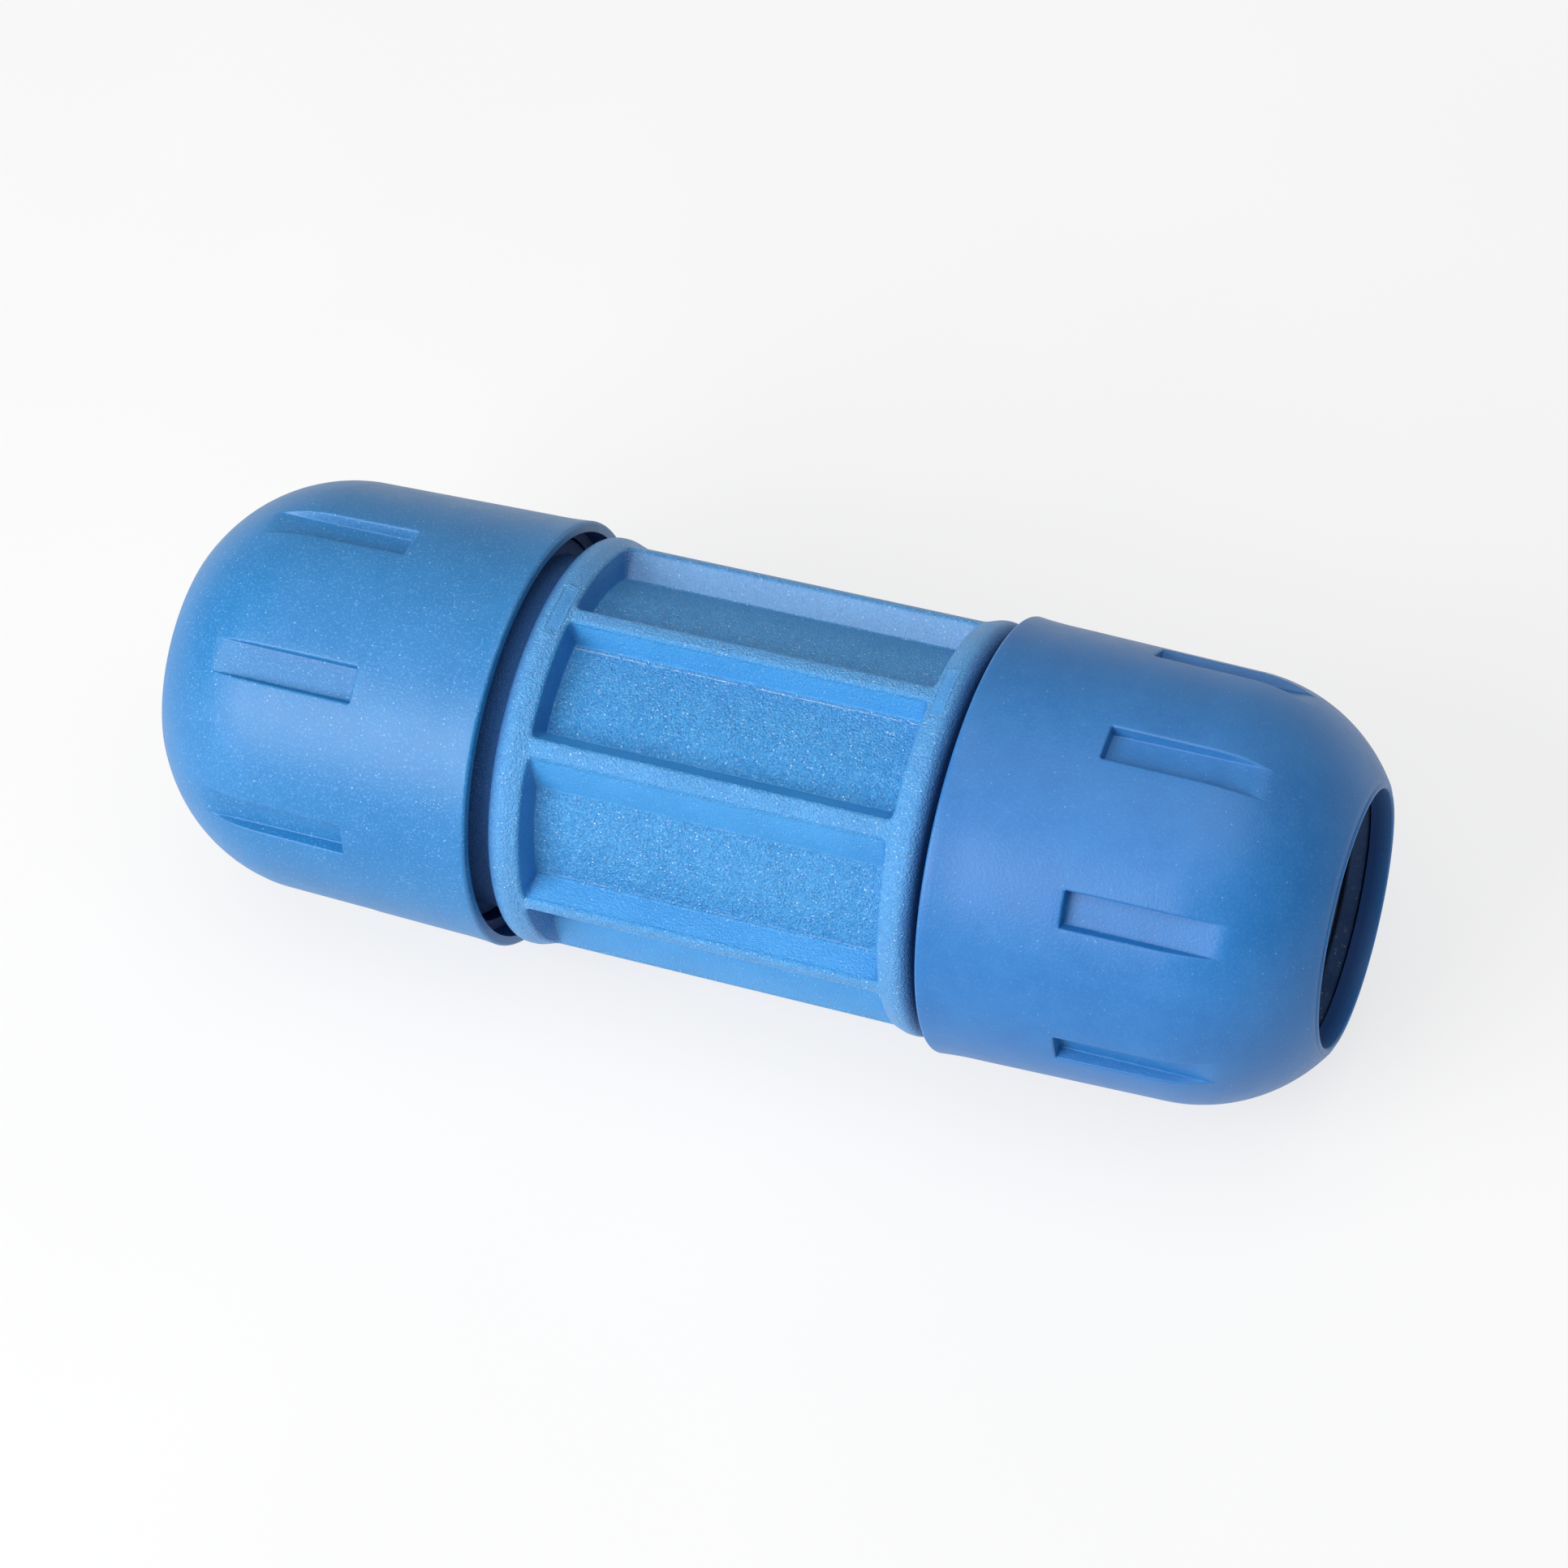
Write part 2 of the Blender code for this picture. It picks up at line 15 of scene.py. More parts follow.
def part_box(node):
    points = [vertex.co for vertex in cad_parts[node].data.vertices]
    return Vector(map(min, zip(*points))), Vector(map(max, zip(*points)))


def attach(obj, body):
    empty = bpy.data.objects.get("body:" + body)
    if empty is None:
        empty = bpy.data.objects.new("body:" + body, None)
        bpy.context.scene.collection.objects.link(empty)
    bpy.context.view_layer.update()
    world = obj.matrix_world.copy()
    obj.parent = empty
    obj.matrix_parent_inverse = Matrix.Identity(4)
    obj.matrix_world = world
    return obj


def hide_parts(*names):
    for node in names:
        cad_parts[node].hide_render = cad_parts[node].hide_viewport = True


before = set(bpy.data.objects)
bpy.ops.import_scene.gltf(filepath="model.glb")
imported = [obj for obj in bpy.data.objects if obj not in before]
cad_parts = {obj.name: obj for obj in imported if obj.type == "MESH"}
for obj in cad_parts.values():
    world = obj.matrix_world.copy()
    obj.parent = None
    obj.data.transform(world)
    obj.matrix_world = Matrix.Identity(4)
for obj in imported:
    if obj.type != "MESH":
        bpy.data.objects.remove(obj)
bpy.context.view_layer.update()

MM = 0.001
TURN = math.tau
AXIS = Vector((1.0, 0.0, 0.0))
CAD_CAP_STEPS = 40                  # facets round the frame's body and caps
CAD_RING_STEPS = 32                 # facets round the frame's rings

# Viewpoint
VIEW_ROUND = math.radians(27.37)    # from the front towards the right end
VIEW_UP = math.radians(51.03)
VIEW_ROLL = math.radians(-9.02)
VIEW_DISTANCE = 606.8 * MM
VIEW_AIM = (1.64 * MM, 0.085 * MM)  # right and up from the middle of the coupling
LENS = 108.28
SENSOR = 36.0


def reach(node, steps):
    """Ends along X and outer radius of a faceted node."""
    low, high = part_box(node)
    return low.x, high.x, high.z / math.cos(math.pi / steps)


RIM, NOSE, SKIRT_RADIUS = reach("right_cap", CAD_CAP_STEPS)
_, NECK_END, COLLAR_RADIUS = reach("coupling_body", CAD_CAP_STEPS)
WIPER_BACK, WIPER_FRONT, WIPER_RADIUS = reach("right_dust_wiper", CAD_RING_STEPS)
COLLET_BACK, COLLET_FRONT, SPACER_RADIUS = reach("right_collet", CAD_RING_STEPS)
TOOTH_BACK, TOOTH_FRONT, TOOTH_RADIUS = reach("right_tooth_ring", CAD_RING_STEPS)
SPACER_BACK, SPACER_FACE, _ = reach("right_spacer_ring", CAD_RING_STEPS)
SEAL_BACK, SEAL_FRONT, SEAL_RADIUS = reach("right_o_ring", CAD_RING_STEPS)
FLOOR_LEVEL = -SKIRT_RADIUS

# Pipe and gaps
PIPE_RADIUS = 16.0 * MM
SOCKET_RADIUS = 16.35 * MM
MOUTH_RADIUS = 16.5 * MM
GAP = 0.3 * MM

# Body
STOP_HALF = 2.0 * MM
STOP_RADIUS = 13.6 * MM
POCKET_FLOOR = 22.4 * MM
RIB_RADIUS = 26.4 * MM
RIB_TOP = 2.2 * MM
TOP_RIB, FRONT_RIB, BACK_RIB = 0.0, 91.5, 316.0
RIB_ANGLES = (TOP_RIB, 40.0, FRONT_RIB, 131.5, 180.0, 228.5, 268.5, BACK_RIB)
SPLIT_ANGLES = (FRONT_RIB, 268.5)   # ribs on the mould's parting line
POCKET_HALF = 24.0 * MM
WALL_DRAFT = math.radians(9.0)
DRAW_DRAFT = math.radians(2.0)
EDGE_ROUND = 0.65 * MM
FOOT_ROUND = 0.5 * MM
COLLAR_END = 28.4 * MM
COLLAR_ROUND = 1.8 * MM
COLLAR_EASE = 2.6 * MM              # length over which a rib top rises to the collar
SOCKET_DEPTH = 39.0 * MM
SEAT_RADIUS = 20.55 * MM
NECK_RADIUS = 23.5 * MM
NECK_CHAMFER = 0.5 * MM
FLASH = 0.07 * MM                   # height of the fine raised mould lines
FLASH_WIDTH = 0.14 * MM
SPLIT_SHARE = 0.7                   # the split's line is lower than the insert mark's
WALL_REACH = 0.3                    # a rib's walls lie within this angle of its middle, radians
FOOT_LINE = 0.004                   # half the width of the pale line at a wall's foot, radians
INSERT_ANGLE = 8.7                  # half the width of the insert mark on each collar, degrees
INSERT_ENDS = (24.6 * MM, 26.4 * MM)

# Threads
PITCH = 4.0 * MM
THREAD_START = 34.0 * MM
THREAD_DEPTH = 1.9 * MM
THREAD_WIDTHS = (2.0 * MM, 1.0 * MM)
THREAD_TURNS = 2.625
CAP_THREAD_START = 35.0 * MM
CAP_THREAD_WIDTHS = (1.6 * MM, 0.8 * MM)
CAP_THREAD_TURNS = 2.5
CAP_THREAD_LEAD = 0.25              # turns between the starts of the two ridges

# Cap
SKIRT_BORE = 27.0 * MM
CAP_BORE = 25.8 * MM
NECK_BORE = 23.8 * MM
SKIRT_LIP = 3.4 * MM
RIM_ROUND = 0.45 * MM
FLARE = 0.3 * MM
FLARE_LENGTH = 6.0 * MM
SKIRT_TAPER = 0.55 * MM
DOME_RADIUS = 22.25 * MM
LIP_WIDTH = 0.7 * MM
LIP_ROUND = 0.35 * MM
NOSE_CLEAR = 0.6 * MM               # the slots stop this far behind the nose
LAND = 2.9 * MM
BORE_END = 45.8 * MM
PILOT_START = 47.0 * MM
SHOULDER = 50.45 * MM
SLOT_START = 47.75 * MM
SLOT_FLOOR_RADIUS = 26.0 * MM
SLOT_HALF = 2.45 * MM
SLOT_COUNT = 8
SLOT_FADE = 0.4 * MM                # a slot fades out where its depth falls below this
SLOT_TURN = {"right": math.radians(4.9), "left": math.radians(10.3)}
CAPS_SHIFT = -0.45 * MM             # both caps this way: the right one is done up tighter
GROOVE_RADIUS = WIPER_RADIUS + GAP
COLLET_BORE = 16.175 * MM
CONE_FRONT = 18.575 * MM
COLLET_SLITS = 7

# Rings
RING_EDGE = 0.25 * MM               # small chamfers on the spacer and collet
SEAL_ROUND = 2.25 * MM              # radius of the seal's own section
TEETH = 16
SPLIT_WIDTH = 3.0 * MM
SLIT_WIDTH = 1.2 * MM

# Fineness of the meshes
ROUND_STEPS = 128                   # columns round a plain turned piece
BODY_COLUMN = math.radians(1.6)     # spacing of the columns where the body is plain
WIDEST_COLUMN = math.radians(2.2)   # a gap in the body's columns wider than this is filled
CAP_COLUMN = math.radians(2.4)
SHARP_ANGLE = math.radians(38.0)    # edges sharper than this are shaded as corners

# Set
FLOOR_GLOW = 0.71
ROOM_GLOW = 0.30
PANELS = (                          # name, direction, distance, width, height, power
    ("key_panel", (-0.50, -0.74, 0.50), 0.95, 0.8, 0.7, 11.5),
    ("top_panel", (0.1, -0.1, 1.0), 1.3, 1.2, 1.2, 9.0))


# Outlines and turning

def arc(x, r, radius, start, end, segments):
    """Points along an arc; angles in degrees, 0 away from the axis and 90 towards the mouth."""
    angles = [math.radians(start + (end - start) * i / segments) for i in range(segments + 1)]
    return [(x + radius * math.sin(a), r + radius * math.cos(a)) for a in angles]


def turned_over(rows):
    """The same outline at the other end, in the opposite order."""
    return [(-x, r) for x, r in reversed(rows)]


def spread(start, end, spacing):
    """Evenly spaced numbers after start and up to end."""
    count = max(1, round(abs(end - start) / spacing))
    return [start + (end - start) * i / count for i in range(1, count + 1)]


def even_columns(count=ROUND_STEPS):
    return [TURN * i / count for i in range(count)]


def wrap(angle):
    """The same angle between half a turn back and half a turn on."""
    return (angle + math.pi) % TURN - math.pi


def turn_of(point):
    return math.atan2(-point.y, point.z) % TURN


def at_turn(x, r, turn):
    return Vector((x, -r * math.sin(turn), r * math.cos(turn)))


def spin_outline(outline, columns, shape=None):
    """Spin a closed (x, r) outline round X, move its columns to the given angles, then shape it."""
    bm = bmesh.new()
    apart = [outline[0]] + [b for a, b in zip(outline, outline[1:]) if math.dist(a, b) > 1e-6]
    corners = [bm.verts.new((x, 0.0, r)) for x, r in apart]
    lines = [bm.edges.new(pair) for pair in zip(corners, corners[1:])]
    lines.append(bm.edges.new((corners[-1], corners[0])))
    steps = len(columns)
    bmesh.ops.spin(
        bm, geom=corners + lines, cent=(0, 0, 0), axis=AXIS, dvec=(0, 0, 0), angle=TURN,
        steps=steps, use_merge=True, use_duplicate=False)
    for vert in bm.verts:
        radius = math.hypot(vert.co.y, vert.co.z)
        turn = columns[round(turn_of(vert.co) * steps / TURN) % steps]
        if shape:
            radius = shape(vert.co.x, radius, turn)
        vert.co = at_turn(vert.co.x, radius, turn)
    return bm


def end_for_end(bm):
    bmesh.ops.rotate(bm, verts=bm.verts, cent=(0, 0, 0), matrix=Matrix.Rotation(math.pi, 3, "Z"))


def finish_piece(bm, name, body, look, nodes):
    """Make the bmesh a shown piece that stands for its nodes."""
    if body != "body":
        bmesh.ops.translate(bm, verts=bm.verts, vec=(CAPS_SHIFT, 0, 0))
    bmesh.ops.recalc_face_normals(bm, faces=bm.faces)
    mesh = bpy.data.meshes.new(name)
    bm.to_mesh(mesh)
    bm.free()
    mesh.shade_smooth()
    mesh.set_sharp_from_angle(angle=SHARP_ANGLE)
    mesh.materials.append(look)
    piece = bpy.data.objects.new(name, mesh)
    bpy.context.scene.collection.objects.link(piece)
    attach(piece, body)
    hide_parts(*nodes)
    return piece


def mark(piece, name, rule):
    """Store a number on each point, worked out from its place and normal."""
    attribute = piece.data.attributes.new(name, "FLOAT", "POINT")
    values = np.array([rule(vert) for vert in piece.data.vertices], np.float32)
    attribute.data.foreach_set("value", values)


# Threads

def ridge(x, turn, start, phase, turns, widths):
    """Height, 0 to 1, of a screw ridge at a place; its ends run out over a tenth of a turn."""
    along = (x - start) / PITCH - (turn - phase) / TURN
    lap = round(along)
    path = (turn - phase) / TURN + lap
    aside = abs(along - lap) * PITCH
    root, crest = widths
    height = min(1.0, max(0.0, (root / 2 - aside) / (root / 2 - crest / 2)))
    run_out = min(1.0, max(0.0, path * 10 + 1), max(0.0, (turns - path) * 10 + 1))
    return height * run_out


# Body

def wall_line(width, depth, edge_round, foot_round):
    """A wall in section: (offset, share of depth) from its top edge to its foot.

    Both corners are rounded with arcs.
    """
    lean = math.atan2(depth, width)
    points = []
    trim = edge_round * math.tan(lean / 2)
    for step in range(7):
        angle = lean * step / 6
        points.append((-trim + edge_round * math.sin(angle), edge_round * (1 - math.cos(angle))))
    trim = foot_round * math.tan(lean / 2)
    for step in range(6):
        angle = lean * (1 - step / 5)
        rise = foot_round * (1 - math.cos(angle))
        points.append((width + trim - foot_round * math.sin(angle), depth - rise))
    return [(offset, drop / depth) for offset, drop in points]


def wall_turns(rib_angle, side):
    """Angles of a pocket wall's top edge and foot.

    A wall leans away from its rib by the draft, and follows the draw of the mould, which opens
    straight up and down, where a leaning wall would lock in it.
    """
    angle = math.radians(rib_angle)
    radial = Vector((math.cos(angle), math.sin(angle)))
    along = Vector((-math.sin(angle), math.cos(angle))) * side
    edge = radial * RIB_RADIUS + along * RIB_TOP / 2
    draw = Vector((1.0 if math.cos(angle + side * 0.1) > 0 else -1.0, 0.0))
    inward = along * math.sin(WALL_DRAFT) - radial * math.cos(WALL_DRAFT)
    if along.dot(draw) < -0.2:
        across = Vector((0.0, math.copysign(1.0, edge.y)))
        inward = across * math.sin(DRAW_DRAFT) - draw * math.cos(DRAW_DRAFT)
    down = -edge.dot(inward)
    foot = edge + inward * (down - math.sqrt(POCKET_FLOOR ** 2 - edge.length_squared + down * down))
    return math.atan2(edge.y, edge.x), math.atan2(foot.y, foot.x)


def side_walls():
    """For each rib and side, the wall's distances round from the rib's middle and shares of depth."""
    walls = {}
    middle = (RIB_RADIUS + POCKET_FLOOR) / 2
    for rib_angle in RIB_ANGLES:
        for side in (-1, 1):
            top, foot = (abs(wrap(a - math.radians(rib_angle))) for a in wall_turns(rib_angle, side))
            line = wall_line((foot - top) * middle, RIB_RADIUS - POCKET_FLOOR, EDGE_ROUND, FOOT_ROUND)
            walls[rib_angle, side] = [top + offset / middle for offset, _ in line], [s for _, s in line]
    return walls


SIDE_WALLS = side_walls()
END_WIDTH = (RIB_RADIUS - POCKET_FLOOR) * math.tan(WALL_DRAFT)
END_LINE = wall_line(END_WIDTH, RIB_RADIUS - POCKET_FLOOR, EDGE_ROUND, FOOT_ROUND)
END_OFFSETS = [POCKET_HALF - offset for offset, _ in END_LINE]
END_SHARES = [share for _, share in END_LINE]


def pocket_share(x, turn):
    """How far down a pocket a place is: 0 on ribs and collars, 1 on a pocket floor."""
    share = np.interp(abs(x), END_OFFSETS[::-1], END_SHARES[::-1])
    for rib_angle in RIB_ANGLES:
        aside = wrap(turn - math.radians(rib_angle))
        if abs(aside) < WALL_REACH:
            share *= np.interp(abs(aside), *SIDE_WALLS[rib_angle, 1 if aside > 0 else -1])
    return float(share)


def flash_line(x, turn):
    """Height of the fine mould lines: along the split, and round the insert mark on each collar."""
    across = min(abs(wrap(turn - math.radians(a))) * RIB_RADIUS for a in SPLIT_ANGLES)
    height = max(0.0, 1 - across / FLASH_WIDTH) * SPLIT_SHARE
    inner, outer = INSERT_ENDS
    aside = abs(wrap(turn)) * COLLAR_RADIUS
    half = math.radians(INSERT_ANGLE) * COLLAR_RADIUS
    far = abs(x)
    if inner - FLASH_WIDTH < far < outer + FLASH_WIDTH and aside < half + FLASH_WIDTH:
        near = min(abs(aside - half), abs(far - inner), abs(far - outer))
        height = max(height, 1 - near / FLASH_WIDTH)
    return height * FLASH


def barrel_shape(x, radius, turn):
    share = pocket_share(x, turn)
    return radius + (POCKET_FLOOR - radius) * share + flash_line(x, turn) * (1 - share)


def barrel_columns():
    turns = []
    for (rib_angle, side), (distances, _) in SIDE_WALLS.items():
        turns += [math.radians(rib_angle) + side * distance for distance in distances]
    for rib_angle in RIB_ANGLES:
        turns.append(math.radians(rib_angle))
    for angle in SPLIT_ANGLES:
        turns += [math.radians(angle) + step * FLASH_WIDTH / RIB_RADIUS for step in (-1, 1)]
    for angle in (-INSERT_ANGLE, INSERT_ANGLE):
        turns += [math.radians(angle) + step * FLASH_WIDTH / COLLAR_RADIUS for step in (-1, 0, 1)]
    turns = sorted(t % TURN for t in turns)
    filled = []
    for here, following in zip(turns, turns[1:] + [turns[0] + TURN]):
        filled.append(here)
        if following - here > WIDEST_COLUMN:
            filled += spread(here, following, BODY_COLUMN)[:-1]
    return sorted(filled)


def barrel_outline():
    """Collars, with the rib tops' radius between them; the pockets are pressed in later."""
    rows = arc(COLLAR_END - COLLAR_ROUND, COLLAR_RADIUS - COLLAR_ROUND, COLLAR_ROUND, 90, 0, 8)
    inner, outer = INSERT_ENDS
    flat = [outer + FLASH_WIDTH, outer, outer - FLASH_WIDTH]
    flat += [(inner + outer) / 2 + 0.4 * MM, (inner + outer) / 2 - 0.4 * MM]
    flat += [inner + FLASH_WIDTH, inner, inner - FLASH_WIDTH]
    places = [x for x in flat if x < COLLAR_END - COLLAR_ROUND]
    ease_start = POCKET_HALF + COLLAR_EASE * 0.85
    places += spread(ease_start, ease_start - COLLAR_EASE, 0.2 * MM) + END_OFFSETS
    places += spread(END_OFFSETS[-1], 0.0, 2.6 * MM)
    for x in sorted(set(places), reverse=True):
        ease = min(1.0, max(0.0, (x - ease_start + COLLAR_EASE) / COLLAR_EASE))
        ease = ease * ease * (3 - 2 * ease)
        rows.append((x, RIB_RADIUS + (COLLAR_RADIUS - RIB_RADIUS) * ease))
    return rows + turned_over([(x, r) for x, r in rows if x > 0])


def neck_outline():
    rows = [(COLLAR_END, NECK_RADIUS)]
    rows += [(x, NECK_RADIUS) for x in spread(COLLAR_END, THREAD_START - PITCH / 3, 0.8 * MM)]
    rows += [(x, NECK_RADIUS) for x in spread(THREAD_START - PITCH / 3, BORE_END, 0.24 * MM)]
    rows += [(NECK_END - NECK_CHAMFER, NECK_RADIUS), (NECK_END, NECK_RADIUS - NECK_CHAMFER)]
    return rows


def bore_outline():
    half = [(NECK_END, SEAT_RADIUS), (SOCKET_DEPTH + GAP, SEAT_RADIUS)]
    half += [(SOCKET_DEPTH, SEAT_RADIUS - GAP), (SOCKET_DEPTH, SOCKET_RADIUS + 0.5 * MM)]
    half += arc(SOCKET_DEPTH - 0.5 * MM, SOCKET_RADIUS + 0.5 * MM, 0.5 * MM, 90, 180, 4)[1:]
    half += [(20.0 * MM, SOCKET_RADIUS), (STOP_HALF, SOCKET_RADIUS)]
    half += [(STOP_HALF, STOP_RADIUS + 0.3 * MM), (STOP_HALF - 0.3 * MM, STOP_RADIUS)]
    return half + turned_over(half)


def body_shape(x, radius, turn):
    """Pockets, mould lines and threads; the bore stays round."""
    if radius > NECK_RADIUS + 0.1 * MM:
        return barrel_shape(x, radius, turn)
    if radius < NECK_RADIUS - 0.01 * MM:
        return radius
    way, phase = (turn, math.pi) if x > 0 else (-turn, 0.0)
    height = ridge(abs(x), way, THREAD_START, phase, THREAD_TURNS, THREAD_WIDTHS)
    return radius + THREAD_DEPTH * height


def pocket_depth(vert):
    return pocket_share(vert.co.x, turn_of(vert.co)) if abs(vert.co.x) < COLLAR_END else 0.0


def faces_axis(vert):
    """1 where the surface faces the pipe's axis, as in a bore, 0 on outer surfaces."""
    outward = Vector((0.0, vert.co.y, vert.co.z)).normalized().dot(vert.normal)
    return min(1.0, max(0.0, -outward * 4 - 2.8))


def body_shade_mask(vert):
    """Painted shade: 1 on the necks, rising to that over the rounded edge of each collar, and facing the
    axis.
    """
    if abs(vert.co.x) > COLLAR_END + 0.1 * MM:
        return 1.0
    edge = (abs(vert.co.x) - COLLAR_END + COLLAR_ROUND) / COLLAR_ROUND
    return max(faces_axis(vert), max(0.0, edge))


def make_body(look):
    """The barrel with both necks and the bore, from one closed outline.

    A known fault: the bore also runs from right to left, so it meets the necks crosswise. Two
    long cones hidden in the wall join each neck to the bore at the other end.
    """
    neck = neck_outline()
    outline = barrel_outline() + [(-x, r) for x, r in neck] + bore_outline() + neck[::-1]
    bm = spin_outline(outline, barrel_columns(), body_shape)
    body = finish_piece(bm, "ribbed_body", "body", look, ["coupling_body"])
    mark(body, "depth", pocket_depth)
    mark(body, "inside", body_shade_mask)


# Caps

SLOT_LINE = wall_line(0.12 * MM, 2.2 * MM, 0.35 * MM, 0.25 * MM)
SLOT_OFFSETS = [SLOT_HALF - offset for offset, _ in SLOT_LINE]
SLOT_SHARES = [share for _, share in SLOT_LINE]
SLOT_END_OFFSETS = [SLOT_START + offset for offset, _ in SLOT_LINE]


def cap_columns(turn):
    turns = []
    for step in range(SLOT_COUNT):
        centre = turn + step * TURN / SLOT_COUNT
        for offset in SLOT_OFFSETS:
            turns += [centre - offset / SKIRT_RADIUS, centre + offset / SKIRT_RADIUS]
    turns = sorted(t % TURN for t in turns)
    filled = []
    for here, following in zip(turns, turns[1:] + [turns[0] + TURN]):
        filled += [here] + spread(here, following, CAP_COLUMN)[:-1]
    return sorted(filled)


def cap_outline():
    """Rim, flared skirt, dome and the land inside the mouth."""
    skirt_end = SKIRT_RADIUS - FLARE - SKIRT_TAPER
    lip = MOUTH_RADIUS + LIP_WIDTH
    dome_angle = math.acos(1 - (skirt_end - lip) / DOME_RADIUS)
    dome_start = NOSE - DOME_RADIUS * math.sin(dome_angle)
    rows = arc(RIM + RIM_ROUND, SKIRT_RADIUS - RIM_ROUND, RIM_ROUND, -90, 0, 7)
    flare_end = RIM + FLARE_LENGTH
    for x in spread(RIM + RIM_ROUND, flare_end, 1.0 * MM):
        share = (flare_end - x) / (FLARE_LENGTH - RIM_ROUND)
        rows.append((x, SKIRT_RADIUS - FLARE * (1 - share * share)))
    places = spread(flare_end, SLOT_END_OFFSETS[0], 1.4 * MM) + SLOT_END_OFFSETS
    places += spread(SLOT_END_OFFSETS[-1], dome_start, 1.0 * MM)
    for x in places:
        share = (x - flare_end) / (dome_start - flare_end)
        rows.append((x, SKIRT_RADIUS - FLARE - SKIRT_TAPER * share))
    last = math.degrees(dome_angle) * 0.97
    rows += arc(dome_start, skirt_end - DOME_RADIUS, DOME_RADIUS, 0, last, 40)[1:]
    rows += arc(NOSE - LIP_ROUND, MOUTH_RADIUS + LIP_ROUND, LIP_ROUND, 10, 180, 8)
    rows += [(x, MOUTH_RADIUS) for x in spread(NOSE - LIP_ROUND, NOSE - LAND, 0.8 * MM)]
    return rows


def slot_share(x, aside):
    """0 outside the finger slots, 1 on their floors; aside is the angle from a slot's middle."""
    across = np.interp(abs(aside) * SKIRT_RADIUS, SLOT_OFFSETS[::-1], SLOT_SHARES[::-1])
    return float(across * np.interp(x, SLOT_END_OFFSETS, SLOT_SHARES))


def press_slot(x, radius, turn, first):
    """The cap's radius with its flat-floored slots pressed in; they fade out where the dome falls."""
    aside = wrap((turn - first) * SLOT_COUNT) / SLOT_COUNT
    share = slot_share(x, aside)
    drop = radius - SLOT_FLOOR_RADIUS / math.cos(aside)
    if x > NOSE - NOSE_CLEAR or drop < -SLOT_FADE:
        return radius
    if drop < SLOT_FADE:
        drop = (drop + SLOT_FADE) ** 2 / (4 * SLOT_FADE)
    return radius - drop * share


def cap_bore_outline():
    rows = [(RIM, SKIRT_BORE), (RIM + SKIRT_LIP, SKIRT_BORE), (RIM + SKIRT_LIP + 0.4 * MM, CAP_BORE)]
    rows += [(x, CAP_BORE) for x in spread(RIM + SKIRT_LIP + 0.4 * MM, BORE_END, 0.26 * MM)]
    rows += [(PILOT_START, NECK_BORE), (SHOULDER, NECK_BORE), (SHOULDER, SPACER_RADIUS + GAP)]
    rows += [(COLLET_BACK, SPACER_RADIUS + GAP), (WIPER_BACK - GAP, CONE_FRONT)]
    rows += [(WIPER_BACK - GAP, GROOVE_RADIUS), (NOSE - LAND, GROOVE_RADIUS)]
    return rows


def cap_shade_mask(vert):
    """Painted shade: rises from the edges of the mouth and of the rim to 1 further in."""
    far_in = min(NOSE - abs(vert.co.x), abs(vert.co.x) - RIM) / (0.8 * LAND)
    in_mouth = math.hypot(vert.co.y, vert.co.z) < MOUTH_RADIUS + 0.02 * MM
    return (1.0 if in_mouth else faces_axis(vert)) * min(1.0, max(0.35, far_in))


def make_cap(side, look):
    first = SLOT_TURN[side]
    phase = (math.pi if side == "right" else 0.0) - CAP_THREAD_LEAD * TURN

    def shape(x, radius, turn):
        if abs(radius - CAP_BORE) < 1e-7 and RIM + SKIRT_LIP < x < BORE_END + 0.01 * MM:
            height = ridge(x, turn, CAP_THREAD_START, phase, CAP_THREAD_TURNS, CAP_THREAD_WIDTHS)
            return radius - THREAD_DEPTH * height
        return press_slot(x, radius, turn, first)

    bm = spin_outline(cap_outline() + cap_bore_outline()[::-1], cap_columns(first), shape)
    if side == "left":
        end_for_end(bm)
    cap = finish_piece(bm, f"{side}_domed_cap", f"{side}_cap", look, [f"{side}_cap"])
    mark(cap, "inside", cap_shade_mask)


# Rings inside the caps

def make_ring(side, name, outline, body, look, node, shape=None, columns=None):
    bm = spin_outline(outline, columns or even_columns(), shape)
    if side == "left":
        end_for_end(bm)
    return finish_piece(bm, f"{side}_{name}", body, look, [f"{side}_{node}"])


def make_wiper(side, look):
    """A rubber ring whose front slopes in to a thin lip that wipes the pipe."""
    lip = PIPE_RADIUS - 0.3 * MM
    outline = [(WIPER_FRONT, WIPER_RADIUS - 0.2 * MM), (WIPER_FRONT - 0.2 * MM, WIPER_RADIUS)]
    outline += [(WIPER_BACK + 0.2 * MM, WIPER_RADIUS), (WIPER_BACK, WIPER_RADIUS - 0.2 * MM)]
    outline += [(WIPER_BACK, PIPE_RADIUS + 1.2 * MM), (WIPER_BACK + 0.1 * MM, lip + 0.5 * MM)]
    outline += arc(WIPER_BACK + 0.42 * MM, lip + 0.22 * MM, 0.22 * MM, -150, -240, 5)
    outline += [(WIPER_FRONT - 0.25 * MM, MOUTH_RADIUS + 0.15 * MM)]
    outline += [(WIPER_FRONT, MOUTH_RADIUS + 0.4 * MM)]
    make_ring(side, "lip_wiper", outline, f"{side}_wiper", look, "dust_wiper")


def make_seal(side, look):
    middle = (SEAL_BACK + SEAL_FRONT) / 2
    outline = arc(middle, SEAL_RADIUS - SEAL_ROUND, SEAL_ROUND, 0, 345, 23)
    make_ring(side, "round_seal", outline, "body", look, "o_ring")


